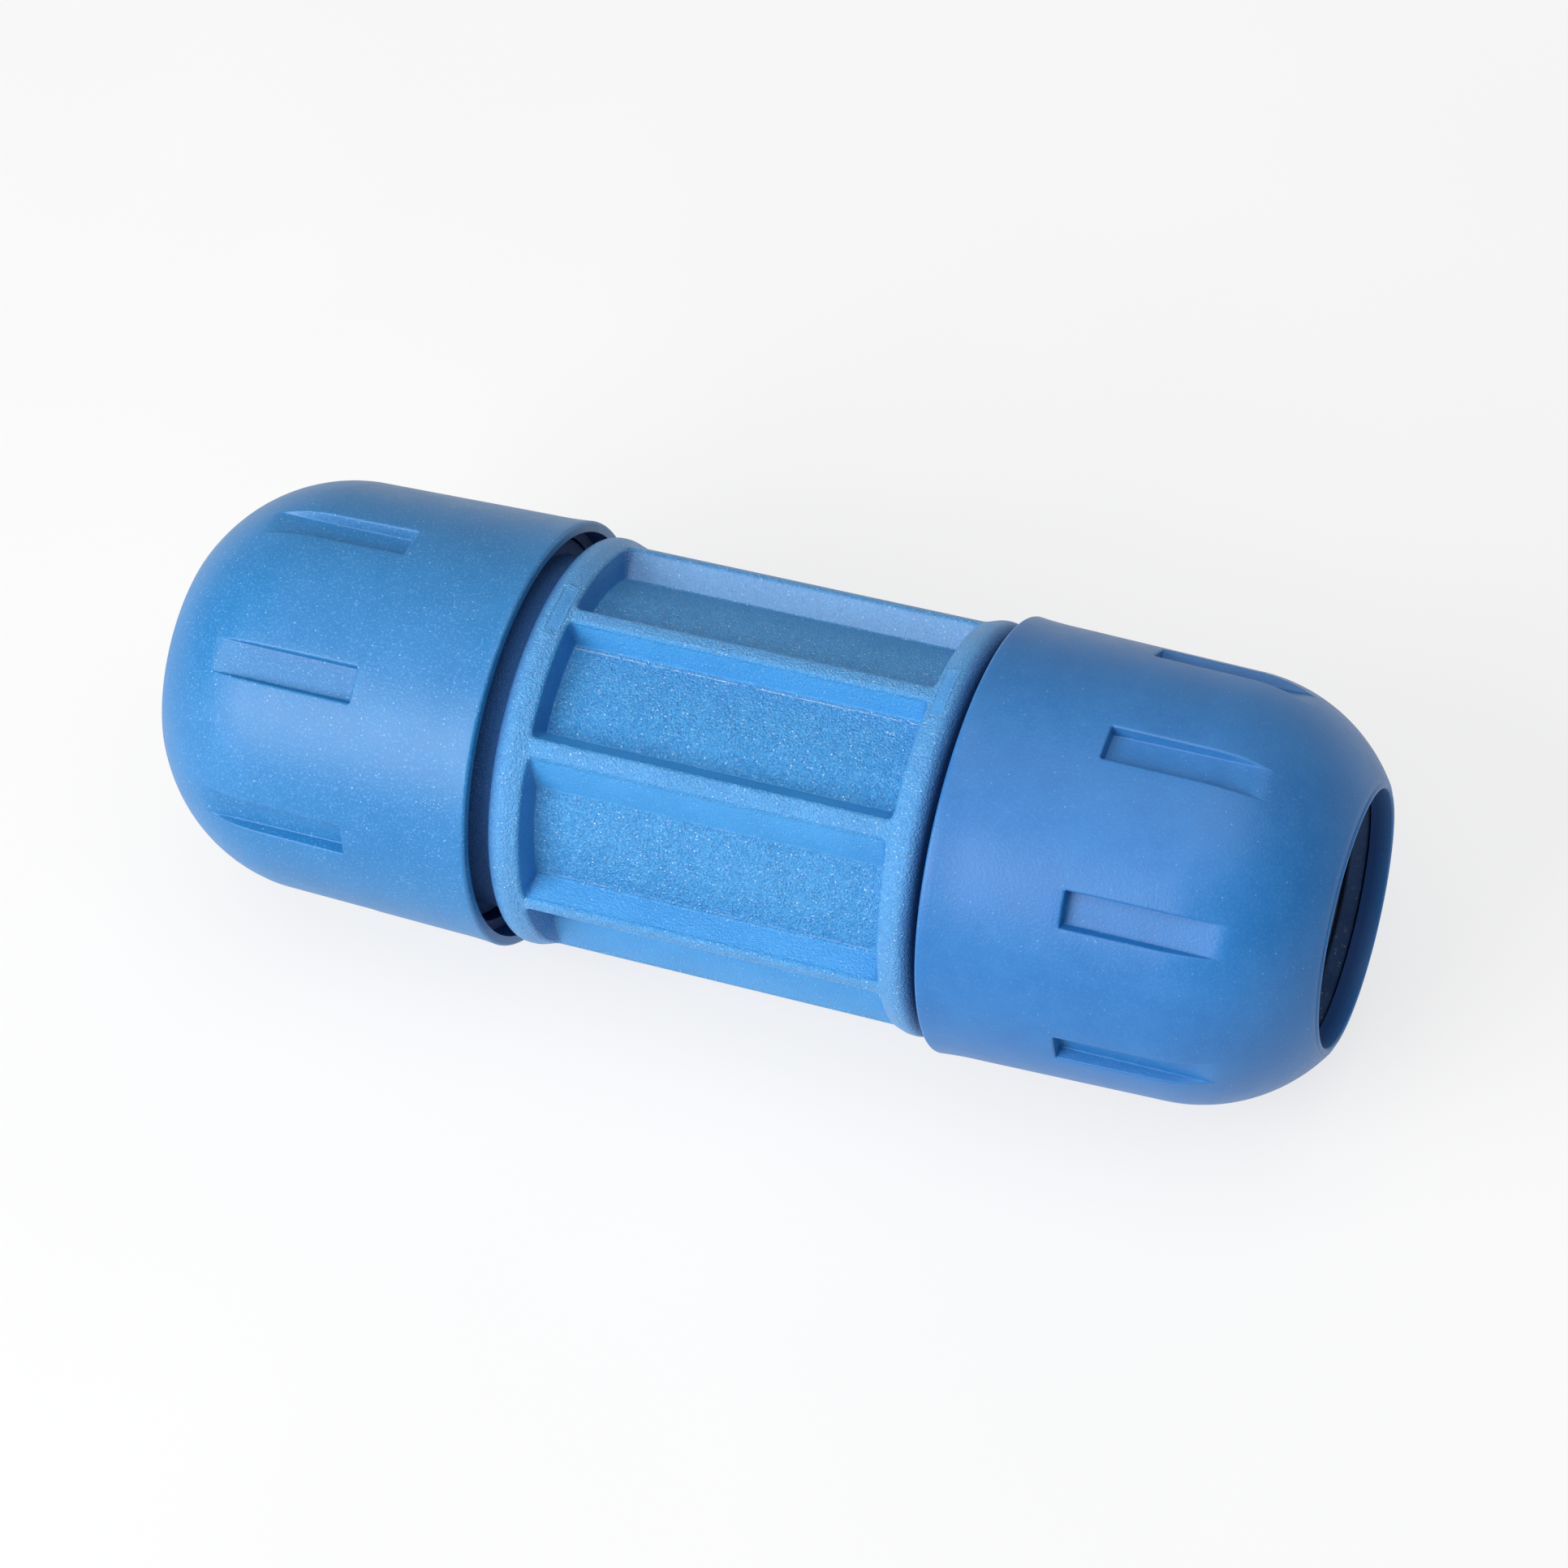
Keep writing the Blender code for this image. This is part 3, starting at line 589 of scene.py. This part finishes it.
def make_spacer(side, look):
    ledge = NECK_END + GAP
    edge = RING_EDGE
    bore = SOCKET_RADIUS + 0.175 * MM
    outline = [(SPACER_FACE - edge, SPACER_RADIUS), (ledge + edge, SPACER_RADIUS)]
    outline += [(ledge, SPACER_RADIUS - edge), (ledge, SEAT_RADIUS - GAP)]
    outline += [(SPACER_BACK + edge, SEAT_RADIUS - GAP), (SPACER_BACK, SEAT_RADIUS - GAP - edge)]
    outline += [(SPACER_BACK, bore + edge), (SPACER_BACK + edge, bore)]
    outline += [(SPACER_FACE - 1.0 * MM, bore), (SPACER_FACE, bore + 1.0 * MM)]
    outline += [(SPACER_FACE, SPACER_RADIUS - edge)]
    make_ring(side, "stepped_spacer", outline, "body", look, "spacer_ring")


def make_tooth_ring(side, look):
    """A thin steel ring with an inner edge of pointed teeth."""
    root = COLLET_BORE + 0.4 * MM
    tip = PIPE_RADIUS - 0.1 * MM

    def shape(x, radius, turn):
        if radius > root + 0.1 * MM:
            return radius
        place = abs((turn * TEETH / TURN) % 1.0 - 0.5) * 2
        return root + (tip - root) * (1 - place)

    outline = [(TOOTH_FRONT, TOOTH_RADIUS), (TOOTH_BACK, TOOTH_RADIUS)]
    outline += [(TOOTH_BACK, root), (TOOTH_FRONT, root)]
    make_ring(
        side, "toothed_ring", outline, f"{side}_collet", look, "tooth_ring", shape,
        even_columns(TEETH * 8))


def cut_slits(piece, low, high, turns):
    """Cut boxes, given by two corners (x, across, r), out of a ring at each angle."""
    bm = bmesh.new()
    size = Vector(high) - Vector(low)
    middle = (Vector(high) + Vector(low)) / 2
    for turn in turns:
        box = bmesh.ops.create_cube(bm, size=1.0)["verts"]
        bmesh.ops.scale(bm, verts=box, vec=size)
        bmesh.ops.translate(bm, verts=box, vec=middle)
        bmesh.ops.rotate(bm, verts=box, cent=(0, 0, 0), matrix=Matrix.Rotation(turn, 3, "X"))
    mesh = bpy.data.meshes.new("slit_tool")
    bm.to_mesh(mesh)
    bm.free()
    tool = bpy.data.objects.new("slit_tool", mesh)
    bpy.context.scene.collection.objects.link(tool)
    cutting = piece.modifiers.new("Slits", "BOOLEAN")
    cutting.operation = "DIFFERENCE"
    cutting.solver = "EXACT"
    cutting.object = tool
    depsgraph = bpy.context.evaluated_depsgraph_get()
    result = bpy.data.meshes.new_from_object(piece.evaluated_get(depsgraph))
    piece.modifiers.clear()
    piece.data = result
    bpy.data.objects.remove(tool, do_unlink=True)
    result.shade_smooth()
    result.set_sharp_from_angle(angle=SHARP_ANGLE)


def make_collet(side, look):
    """A split cone with slits from its back end and a groove for the toothed ring."""
    cone_back = SPACER_RADIUS
    cone_front = CONE_FRONT - GAP
    edge = RING_EDGE
    groove = TOOTH_RADIUS + GAP
    outline = [(COLLET_FRONT, cone_front - edge), (COLLET_FRONT - edge, cone_front)]
    outline += [(COLLET_BACK + edge, cone_back), (COLLET_BACK, cone_back - edge)]
    outline += [(COLLET_BACK, COLLET_BORE + edge), (COLLET_BACK + edge, COLLET_BORE)]
    outline += [(TOOTH_BACK - GAP, COLLET_BORE), (TOOTH_BACK - GAP, groove)]
    outline += [(TOOTH_FRONT + GAP, groove), (TOOTH_FRONT + GAP, COLLET_BORE)]
    outline += [(COLLET_FRONT - 0.8 * MM, COLLET_BORE), (COLLET_FRONT, COLLET_BORE + 0.6 * MM)]
    collet = make_ring(side, "split_collet", outline, f"{side}_collet", look, "collet")
    ends = sorted((COLLET_BACK - 1.0 * MM, COLLET_FRONT + 1.0 * MM))
    slit_ends = (COLLET_BACK - 1.0 * MM, TOOTH_BACK - 1.1 * MM)
    direction = 1 if side == "right" else -1
    split_at = math.pi if side == "right" else 0.0
    inside, outside = COLLET_BORE - 1.5 * MM, cone_back + 1.0 * MM
    slits_at = [split_at + (i + 1) * TURN / (COLLET_SLITS + 1) for i in range(COLLET_SLITS)]
    for (start, end), width, turns in ((ends, SPLIT_WIDTH, [split_at]), (slit_ends, SLIT_WIDTH, slits_at)):
        low_x, high_x = sorted((start * direction + CAPS_SHIFT, end * direction + CAPS_SHIFT))
        cut_slits(collet, (low_x, -width / 2, inside), (high_x, width / 2, outside), turns)


# Materials

class Value:
    """An output in a material that plain arithmetic can build on."""

    def __init__(self, look, socket):
        self.look = look
        self.socket = socket

    def __add__(self, other):
        return self.look.math("ADD", self, other)

    def __radd__(self, other):
        return self.look.math("ADD", other, self)

    def __sub__(self, other):
        return self.look.math("SUBTRACT", self, other)

    def __rsub__(self, other):
        return self.look.math("SUBTRACT", other, self)

    def __mul__(self, other):
        return self.look.math("MULTIPLY", self, other)

    def __rmul__(self, other):
        return self.look.math("MULTIPLY", other, self)

    def __truediv__(self, other):
        return self.look.math("DIVIDE", self, other)

    def __rtruediv__(self, other):
        return self.look.math("DIVIDE", other, self)

    def step(self, low, high):
        """0 below low and 1 above high, eased between them; low may be the larger."""
        return self.look.node(
            "ShaderNodeMapRange", {"interpolation_type": "SMOOTHSTEP"},
            {"Value": self, "From Min": low, "From Max": high, "To Min": 0.0, "To Max": 1.0})


class Look:
    """A material and the means to build its pattern."""

    def __init__(self, name, roughness, metallic=0.0, specular=0.5):
        self.material = bpy.data.materials.new(name)
        self.material.use_nodes = True
        self.tree = self.material.node_tree
        self.shader = self.tree.nodes["Principled BSDF"]
        self.shader.inputs["Roughness"].default_value = roughness
        self.shader.inputs["Metallic"].default_value = metallic
        self.shader.inputs["Specular IOR Level"].default_value = specular
        self.place = self.node("ShaderNodeTexCoord", output="Object")

    def node(self, kind, settings=None, inputs=None, output=0):
        made = self.tree.nodes.new(kind)
        for name, setting in (settings or {}).items():
            setattr(made, name, setting)
        for name, value in (inputs or {}).items():
            self.feed(made.inputs[name], value)
        return Value(self, made.outputs[output])

    def feed(self, socket, value):
        if isinstance(value, Value):
            self.tree.links.new(value.socket, socket)
        elif isinstance(value, tuple) and len(value) == 3 and socket.type == "RGBA":
            socket.default_value = (*value, 1.0)
        else:
            socket.default_value = value

    def math(self, operation, first, second=0.0):
        return self.node("ShaderNodeMath", {"operation": operation}, {0: first, 1: second})

    def noise(self, size, detail=3.0, roughness=0.55, where=None):
        """Noise, about 0.3 to 0.7, whose blotches are about size across."""
        inputs = {"Vector": where or self.place, "Scale": 1.0 / size}
        inputs.update({"Detail": detail, "Roughness": roughness})
        return self.node("ShaderNodeTexNoise", {"noise_dimensions": "3D"}, inputs)

    def specks(self, spacing, radius, share, softness=0.4):
        """Round specks in a share of cells, spacing apart."""
        cells = {"feature": "F1", "voronoi_dimensions": "3D"}
        inputs = {"Vector": self.place, "Scale": 1.0 / spacing}
        distance = self.node("ShaderNodeTexVoronoi", cells, inputs, "Distance")
        chance = self.node("ShaderNodeTexVoronoi", cells, inputs, "Color")
        pick = self.node("ShaderNodeSeparateColor", None, {"Color": chance})
        chosen = pick.step(1 - share, 1 - share * 0.6)
        reach_of = radius / spacing
        return distance.step(reach_of, reach_of * softness) * chosen

    def mix(self, factor, first, second):
        return self.node(
            "ShaderNodeMix", {"data_type": "RGBA", "blend_type": "MIX"},
            {0: factor, 6: first, 7: second}, 2)

    def attribute(self, name):
        return self.node("ShaderNodeAttribute", {"attribute_name": name}, None, "Fac")

    def stretch(self, x, y, z):
        return self.node("ShaderNodeMapping", None, {"Vector": self.place, "Scale": (x, y, z)})

    def part(self, axis):
        return self.node("ShaderNodeSeparateXYZ", None, {"Vector": self.place}, axis)

    def bump(self, height, distance, strength=1.0, under=None):
        inputs = {"Height": height, "Distance": distance, "Strength": strength}
        if under is not None:
            inputs["Normal"] = under
        return self.node("ShaderNodeBump", None, inputs)

    def finish(self, colour, roughness=None, normal=None):
        self.feed(self.shader.inputs["Base Color"], colour)
        for name, value in (("Roughness", roughness), ("Normal", normal)):
            if value is not None:
                self.feed(self.shader.inputs[name], value)
        return self.material


def shaded_up_and_back(look):
    """1 on the side that faces up and back, 0 on the front and below: where a greyer painted shade goes.
    """
    facing = (look.part("Z") * 0.70 + look.part("Y") * 0.71) / SKIRT_RADIUS
    return facing.step(0.2, 1.0)


def within(value, middle, half):
    """1 near the middle, 0 further than half from it."""
    return value.step(middle - half, middle - half * 0.6) * value.step(middle + half, middle + half * 0.6)


def insert_mask(turn, along):
    """1 inside the insert mark on each collar."""
    inner, outer = INSERT_ENDS
    across = within(turn, 0.0, math.radians(INSERT_ANGLE) * 1.02)
    return across * within(along, (inner + outer) / 2, (outer - inner) / 2 * 1.02)


def foot_mask(look, turn, depth, rib_angle, side):
    """A thin broken line along the foot of one pocket wall."""
    distances, _ = SIDE_WALLS[rib_angle, side]
    foot = wrap(math.radians(rib_angle) + side * (distances[-1] + FOOT_LINE / 2))
    line = within(turn, foot, FOOT_LINE) * depth.step(0.9, 0.99)
    return line * look.noise(2 * MM).step(0.35, 0.5)


def back_wall_mask(turn):
    """1 round the back rib's near wall, which is pitted and gets a painted pale sheen."""
    distances, _ = SIDE_WALLS[BACK_RIB, 1]
    return within(turn, wrap(math.radians(BACK_RIB)) + (distances[0] + distances[-1]) / 2, 0.07)


def moulded_blue_look():
    """Spark-eroded blue plastic: grain with painted glints on floors and lands, smooth walls, pale flecks
    partly painted as glints, and painted shade and sheen.
    """
    look = Look("moulded_blue_plastic", 0.42, specular=0.5)
    depth = look.attribute("depth")
    turn = look.math("ARCTAN2", 0.0 - look.part("Y"), look.part("Z"))
    along = look.math("ABSOLUTE", look.part("X"))
    wall = depth.step(0.05, 0.16) * depth.step(0.992, 0.93)
    shaded_end_wall = wall * along.step(POCKET_HALF - 1.2 * MM, POCKET_HALF - 0.4 * MM)
    insert = insert_mask(turn, along)
    back_wall = wall * back_wall_mask(turn)
    rough = (1 - wall * 0.7 + back_wall * 0.5) * (1 - insert * 0.75)
    rough = rough * (0.7 + depth.step(0.93, 0.995) * 0.3)
    clouds = look.noise(9 * MM, 3.0).step(0.3, 0.7)
    mottle = look.noise(1.3 * MM, 4.0, 0.6).step(0.36, 0.64)
    grain = look.noise(0.27 * MM, 2.0, 0.6)
    colour = look.mix(clouds, (0.026, 0.235, 0.565), (0.036, 0.262, 0.61))
    colour = look.mix(mottle * rough * 0.3, colour, (0.06, 0.38, 0.77))
    # grain tone, partly painted: the pale specks are painted glints, the dark ones painted shade in the
    # pits
    colour = look.mix(grain.step(0.54, 0.68) * rough * 0.5, colour, (0.30, 0.54, 0.82))
    colour = look.mix(grain.step(0.45, 0.34) * rough * 0.5, colour, (0.012, 0.12, 0.38))
    # painted sheen: pale lavender on the lands and on the back rib's near wall
    land = depth.step(0.06, 0.0)
    colour = look.mix(land * 0.08 + back_wall * 0.4, colour, (0.34, 0.50, 0.76))
    for rib_angle, side, strength in ((TOP_RIB, 1, 0.7), (FRONT_RIB, -1, 0.35)):
        line = foot_mask(look, turn, depth, rib_angle, side)
        colour = look.mix(line * strength, colour, (0.48, 0.60, 0.80))
    # pale flecks of the plastic, partly painted glints on the rough grain
    flecks = look.specks(0.55 * MM, 0.12 * MM, 0.5) + look.specks(1.5 * MM, 0.16 * MM, 0.35)
    colour = look.mix(flecks * (0.15 + rough * 0.7), colour, (0.66, 0.80, 0.95))
    # painted shade: greyer and duller on the side facing up and back
    colour = look.mix(shaded_up_and_back(look) * (1 - wall) * 0.12, colour, (0.20, 0.33, 0.46))
    colour = look.mix(insert * 0.25, colour, (0.02, 0.18, 0.50))
    # painted shade: darkens the pocket end walls towards navy
    colour = look.mix(shaded_end_wall * 0.45, colour, (0.006, 0.085, 0.34))
    # painted shade: deep navy on the necks, in the bore and over each collar's edge into the gap
    inside = look.attribute("inside")
    colour = look.mix(inside * 0.75, colour, (0.003, 0.06, 0.27))
    gloss = 0.36 + grain.step(0.4, 0.65) * 0.1 + mottle * 0.05 + inside * 0.2
    under = look.bump(look.noise(2.2 * MM, 2.0), 0.06 * MM, 0.6)
    normal = look.bump(grain * (0.2 + rough * 0.8), 0.5 * MM, 1.0, under)
    return look.finish(colour, gloss, normal)


def cap_blue_look(name, fleck_share, green):
    """Satin blue plastic with fine pale flecks and soft cloudy variation.

    fleck_share is how many flecks it has, and green how much greener it is than the plain blue.
    """
    look = Look(name, 0.42, specular=0.45)
    clouds = look.noise(14 * MM, 3.0).step(0.3, 0.7)
    haze = look.noise(2.6 * MM, 4.0, 0.6).step(0.35, 0.7)
    fine = look.noise(0.32 * MM, 2.0)
    colour = look.mix(clouds, (0.007, 0.125 + green, 0.38), (0.012, 0.143 + green, 0.415))
    colour = look.mix(haze * 0.1, colour, (0.05, 0.24, 0.55))
    colour = look.mix(fine.step(0.5, 0.7) * (0.05 + fleck_share * 0.6), colour, (0.11, 0.32, 0.62))
    flecks = look.specks(1.0 * MM, 0.13 * MM, fleck_share) + look.specks(0.6 * MM, 0.1 * MM, fleck_share)
    colour = look.mix(flecks * (0.25 + fleck_share * 0.6), colour, (0.45, 0.64, 0.84))
    # painted shade: greyer and duller on the side facing up and back
    colour = look.mix(shaded_up_and_back(look) * 0.16, colour, (0.14, 0.26, 0.40))
    # painted shade: near-black navy in the mouth and the bore
    inside = look.attribute("inside")
    colour = look.mix(inside * 0.95, colour, (0.001, 0.04, 0.18))
    gloss = 0.38 + haze * 0.05 + fine.step(0.35, 0.65) * 0.05 + inside * 0.3
    under = look.bump(look.noise(7 * MM, 2.0), 0.12 * MM, 0.4)
    normal = look.bump(fine, 0.04 * MM, 0.9, under)
    return look.finish(colour, gloss, normal)


def wiper_look():
    """Matt navy rubber with settled dust."""
    look = Look("wiper_rubber_dusty", 0.62, specular=0.2)
    haze = look.noise(3 * MM, 3.0).step(0.35, 0.65)
    colour = look.mix(haze, (0.012, 0.038, 0.115), (0.020, 0.052, 0.14))
    dust = look.specks(0.8 * MM, 0.14 * MM, 0.3) + look.noise(0.7 * MM, 3.0).step(0.58, 0.72) * 0.3
    low = look.part("Z").step(-0.2 * PIPE_RADIUS, -PIPE_RADIUS)
    colour = look.mix(dust * (0.12 + low * 0.4), colour, (0.38, 0.42, 0.46))
    normal = look.bump(look.noise(0.5 * MM, 3.0), 0.04 * MM)
    return look.finish(colour, 0.58 + haze * 0.12, normal)


def seal_look():
    """Black rubber under a thin film of grease."""
    look = Look("greased_black_rubber", 0.35, specular=0.5)
    film = look.noise(2.5 * MM, 3.0).step(0.4, 0.65)
    colour = look.mix(film, (0.011, 0.011, 0.012), (0.026, 0.026, 0.027))
    normal = look.bump(look.noise(0.6 * MM, 3.0), 0.03 * MM)
    return look.finish(colour, 0.28 + film * 0.25, normal)


def collet_look():
    """Off-white acetal with faint flow marks along the fingers."""
    look = Look("natural_acetal", 0.34, specular=0.5)
    flow = look.noise(1.6 * MM, 3.0, 0.5, look.stretch(0.15, 1.0, 1.0)).step(0.35, 0.65)
    colour = look.mix(flow, (0.66, 0.65, 0.62), (0.74, 0.73, 0.70))
    colour = look.mix(look.specks(2.4 * MM, 0.12 * MM, 0.15) * 0.5, colour, (0.3, 0.28, 0.25))
    normal = look.bump(flow, 0.03 * MM, 0.5)
    return look.finish(colour, 0.32 + flow * 0.1, normal)


def spacer_look():
    """Dark satin plastic with fine turning marks."""
    look = Look("dark_satin_plastic", 0.42, specular=0.5)
    rings = look.noise(0.5 * MM, 2.0, 0.5, look.stretch(1.0, 0.05, 0.05)).step(0.35, 0.65)
    colour = look.mix(rings, (0.032, 0.038, 0.045), (0.05, 0.056, 0.064))
    normal = look.bump(rings, 0.02 * MM, 0.6)
    return look.finish(colour, 0.38 + rings * 0.1, normal)


def steel_look():
    """Stamped stainless steel, brushed round, a little dull."""
    look = Look("stamped_steel", 0.3, metallic=1.0)
    brush = look.noise(0.3 * MM, 2.0, 0.5, look.stretch(1.0, 0.15, 1.0)).step(0.3, 0.7)
    stain = look.noise(3 * MM, 3.0).step(0.5, 0.75)
    colour = look.mix(brush, (0.50, 0.50, 0.51), (0.64, 0.64, 0.65))
    colour = look.mix(stain * 0.4, colour, (0.40, 0.37, 0.33))
    normal = look.bump(brush, 0.01 * MM, 0.7)
    return look.finish(colour, 0.26 + brush * 0.12 + stain * 0.12, normal)


# Surroundings

def pale_look():
    """Matt white card, lit evenly from under as well, with the faintest unevenness."""
    look = Look("pale_card", 0.8, specular=0.1)
    look.shader.inputs["Emission Color"].default_value = (1.0, 1.0, 1.0, 1.0)
    look.shader.inputs["Emission Strength"].default_value = FLOOR_GLOW
    tone = look.noise(90 * MM, 2.0).step(0.3, 0.7)
    return look.finish(look.mix(tone, (0.195, 0.195, 0.195), (0.205, 0.205, 0.205)))


def make_floor():
    bm = bmesh.new()
    bmesh.ops.create_grid(bm, x_segments=1, y_segments=1, size=3.0)
    bmesh.ops.translate(bm, verts=bm.verts, vec=(0, 0, FLOOR_LEVEL))
    mesh = bpy.data.meshes.new("pale_floor")
    bm.to_mesh(mesh)
    bm.free()
    mesh.materials.append(pale_look())
    floor = bpy.data.objects.new("pale_floor", mesh)
    bpy.context.scene.collection.objects.link(floor)


def facing(direction):
    """A turn whose local Z points along direction, with its X level."""
    z = Vector(direction).normalized()
    x = Vector((0, 0, 1)).cross(z).normalized()
    return Matrix((x, z.cross(x), z)).transposed()


def add_panel(name, direction, distance, width, height, power):
    """A soft rectangular light that looks at the coupling from a direction."""
    light = bpy.data.lights.new(name, "AREA")
    light.shape = "RECTANGLE"
    light.size = width
    light.size_y = height
    light.energy = power
    panel = bpy.data.objects.new(name, light)
    spot = Vector(direction).normalized() * distance
    panel.matrix_world = Matrix.Translation(spot) @ facing(direction).to_4x4()
    bpy.context.scene.collection.objects.link(panel)


def light_the_set():
    world = bpy.data.worlds.new("soft_room")
    world.use_nodes = True
    background = world.node_tree.nodes["Background"]
    background.inputs["Color"].default_value = (1.0, 1.0, 1.0, 1.0)
    background.inputs["Strength"].default_value = ROOM_GLOW
    bpy.context.scene.world = world
    for panel in PANELS:
        add_panel(*panel)
    bpy.context.scene.view_settings.view_transform = "Standard"


def aim_camera():
    camera = bpy.data.cameras.new("viewpoint")
    camera.lens = LENS
    camera.sensor_width = SENSOR
    camera.clip_start = 0.01
    level = math.cos(VIEW_UP)
    towards = Vector((level * math.sin(VIEW_ROUND), -level * math.cos(VIEW_ROUND), math.sin(VIEW_UP)))
    turn = facing(towards) @ Matrix.Rotation(VIEW_ROLL, 3, "Z")
    right, up = VIEW_AIM
    spot = towards * VIEW_DISTANCE + turn @ Vector((right, up, 0.0))
    holder = bpy.data.objects.new("viewpoint", camera)
    holder.matrix_world = Matrix.Translation(spot) @ turn.to_4x4()
    bpy.context.scene.collection.objects.link(holder)
    bpy.context.scene.camera = holder


def main():
    aim_camera()
    light_the_set()
    make_floor()
    make_body(moulded_blue_look())
    cap_looks = {
        "right": cap_blue_look("satin_blue_plastic_right", 0.12, 0.0),
        "left": cap_blue_look("satin_blue_plastic_left", 0.5, 0.02)}
    wiper, seal, acetal = wiper_look(), seal_look(), collet_look()
    dark, steel = spacer_look(), steel_look()
    for side in ("right", "left"):
        make_cap(side, cap_looks[side])
        make_wiper(side, wiper)
        make_seal(side, seal)
        make_spacer(side, dark)
        make_collet(side, acetal)
        make_tooth_ring(side, steel)


main()
